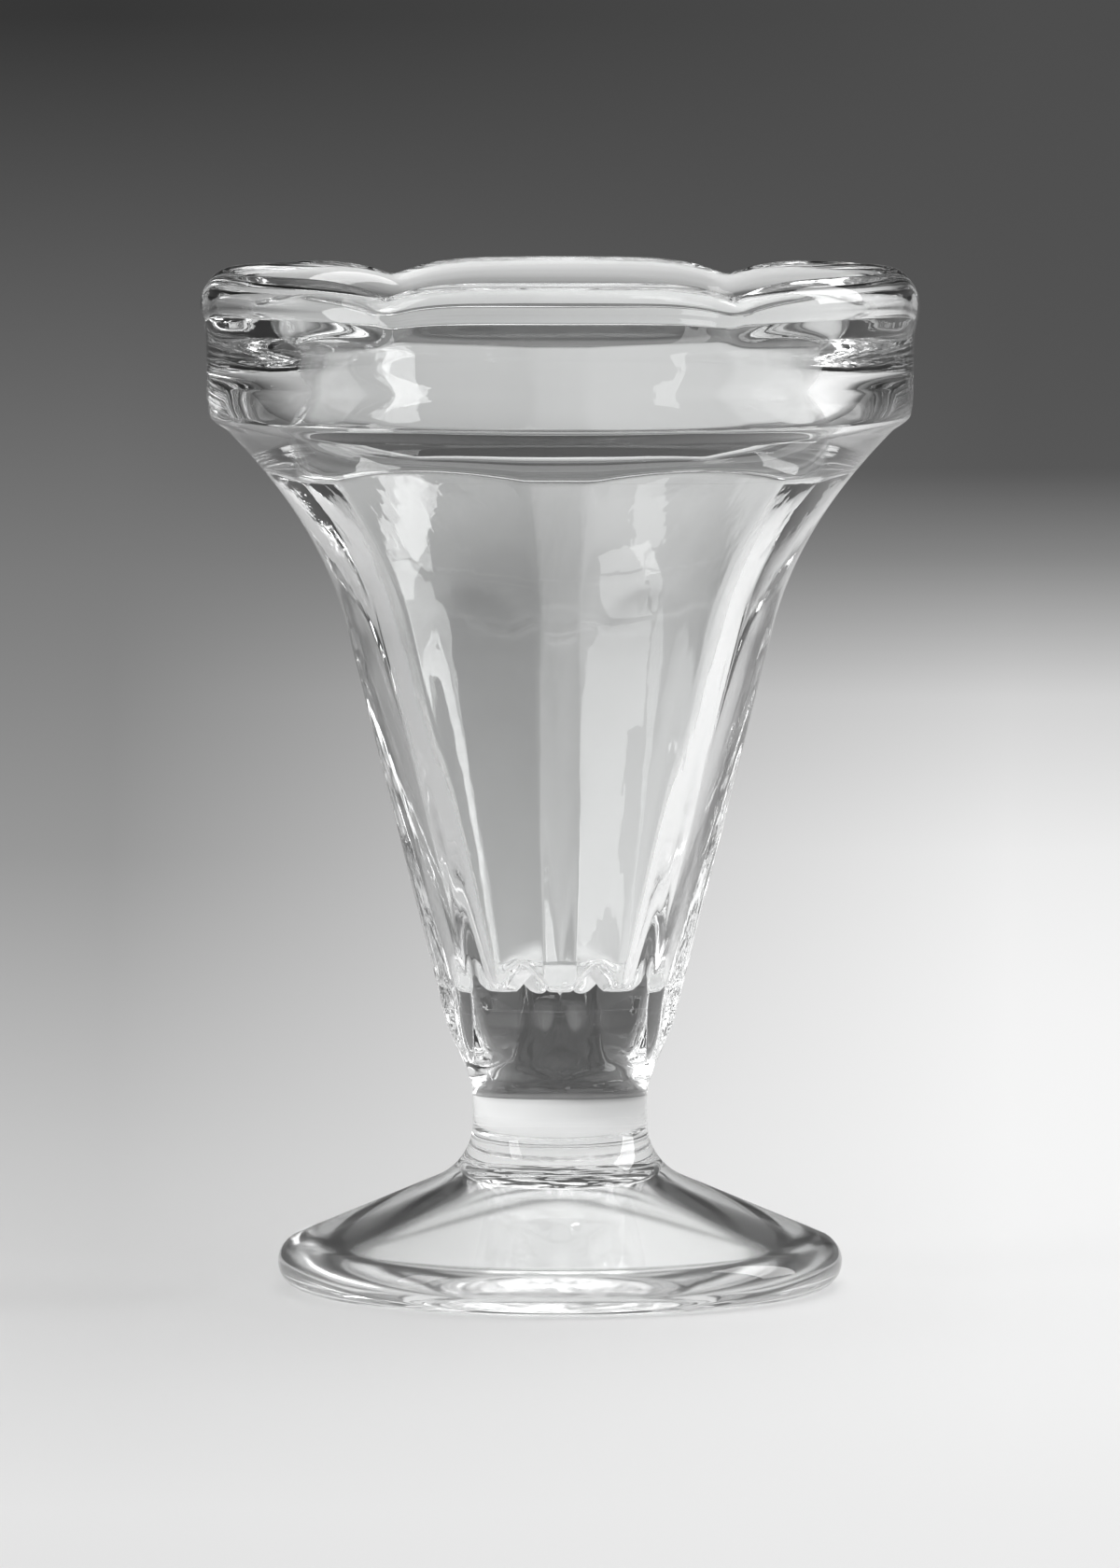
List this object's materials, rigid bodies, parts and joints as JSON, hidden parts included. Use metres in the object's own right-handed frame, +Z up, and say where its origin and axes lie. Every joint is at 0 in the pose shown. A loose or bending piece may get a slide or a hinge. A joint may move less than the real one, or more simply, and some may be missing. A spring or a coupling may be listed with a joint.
{
  "type": "stemmed dessert glass",
  "caption": "Clear pressed-glass dessert dish: scalloped lip, plain collar, conical fluted bowl with a deep narrow cavity, short waisted stem and round foot.",
  "frame": {"origin": "centre of the foot's rest ring, on the surface that the glass stands on", "axes": "+Z up along the glass's axis, -Y towards the middle of one lobe of the lip"},
  "size_m": [0.095, 0.095, 0.135],
  "materials": {
    "glass": "clear pressed soda-lime glass, fire polished"
  },
  "bodies": {
    "root": {"foot": "glass", "stem": "glass", "bowl": "glass", "collar": "glass", "lip": "glass"}
  },
  "joints": []
}
